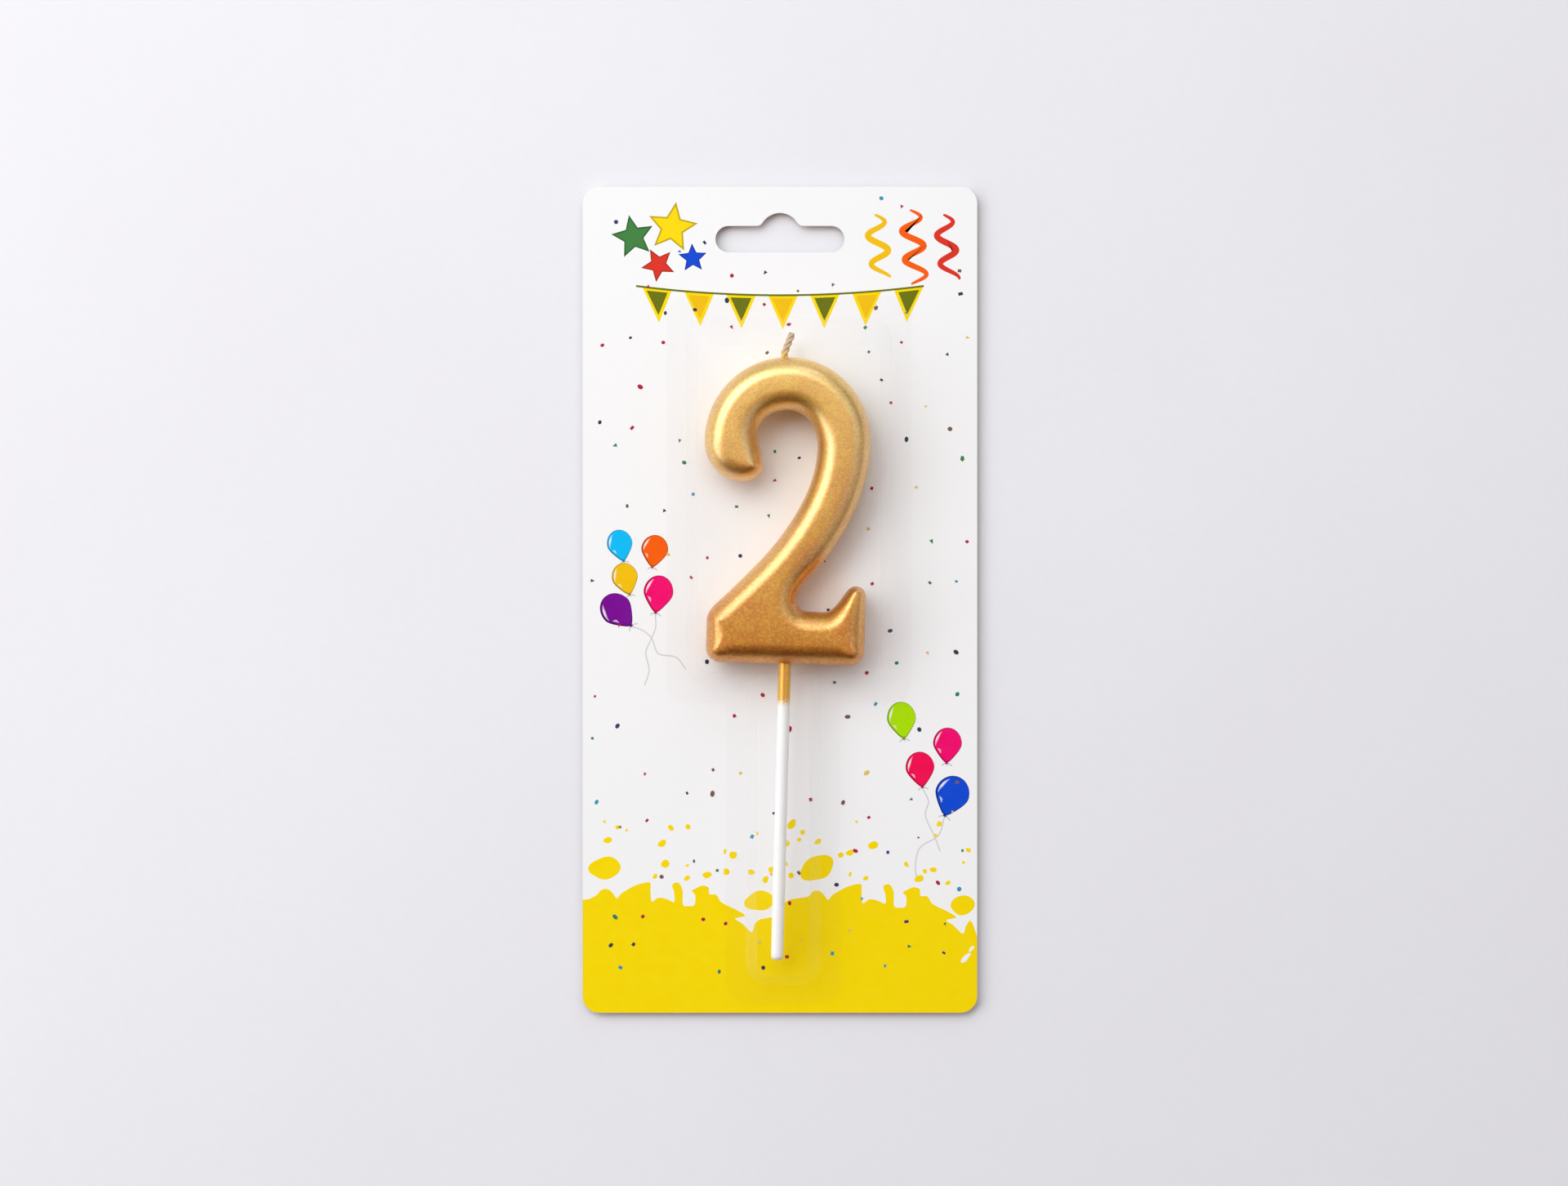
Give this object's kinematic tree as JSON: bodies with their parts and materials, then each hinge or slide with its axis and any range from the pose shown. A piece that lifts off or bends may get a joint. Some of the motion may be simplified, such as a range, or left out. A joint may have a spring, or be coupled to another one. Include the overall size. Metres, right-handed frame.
{
  "type": "number candle in a blister pack",
  "caption": "Gold figure-two cake candle with a cotton wick and a white pick, lying in a clear formed blister on a printed hang card with a hang slot.",
  "frame": {"origin": "middle of the card's rear face, which lies on the ground plane", "axes": "+Z out of the card's printed front towards the viewer, +Y up the card towards the hang slot, +X to the viewer's right"},
  "size_m": [0.085, 0.178, 0.0125],
  "materials": {
    "printed_card": "coated white board with printed confetti and a yellow foot",
    "clear_film": "clear glossy thermoformed film",
    "gold_wax": "wax with a satin metallic gold lacquer",
    "cotton": "twisted waxed cotton",
    "white_plastic": "white, gold overspray at its upper end"
  },
  "bodies": {
    "card": {"backing_card": "printed_card"},
    "candle": {"numeral_body": "gold_wax", "wick": "cotton", "pick": "white_plastic"},
    "blister_shell": {"blister": "clear_film"}
  },
  "joints": [
    {"name": "candle_lift", "type": "slide", "parent": "card", "child": "candle", "axis": [0, 0, 1], "range_m": [0, 0.04]},
    {"name": "blister_lift", "type": "slide", "parent": "candle", "child": "blister_shell", "axis": [0, 0, 1], "range_m": [0, 0.04]}
  ]
}
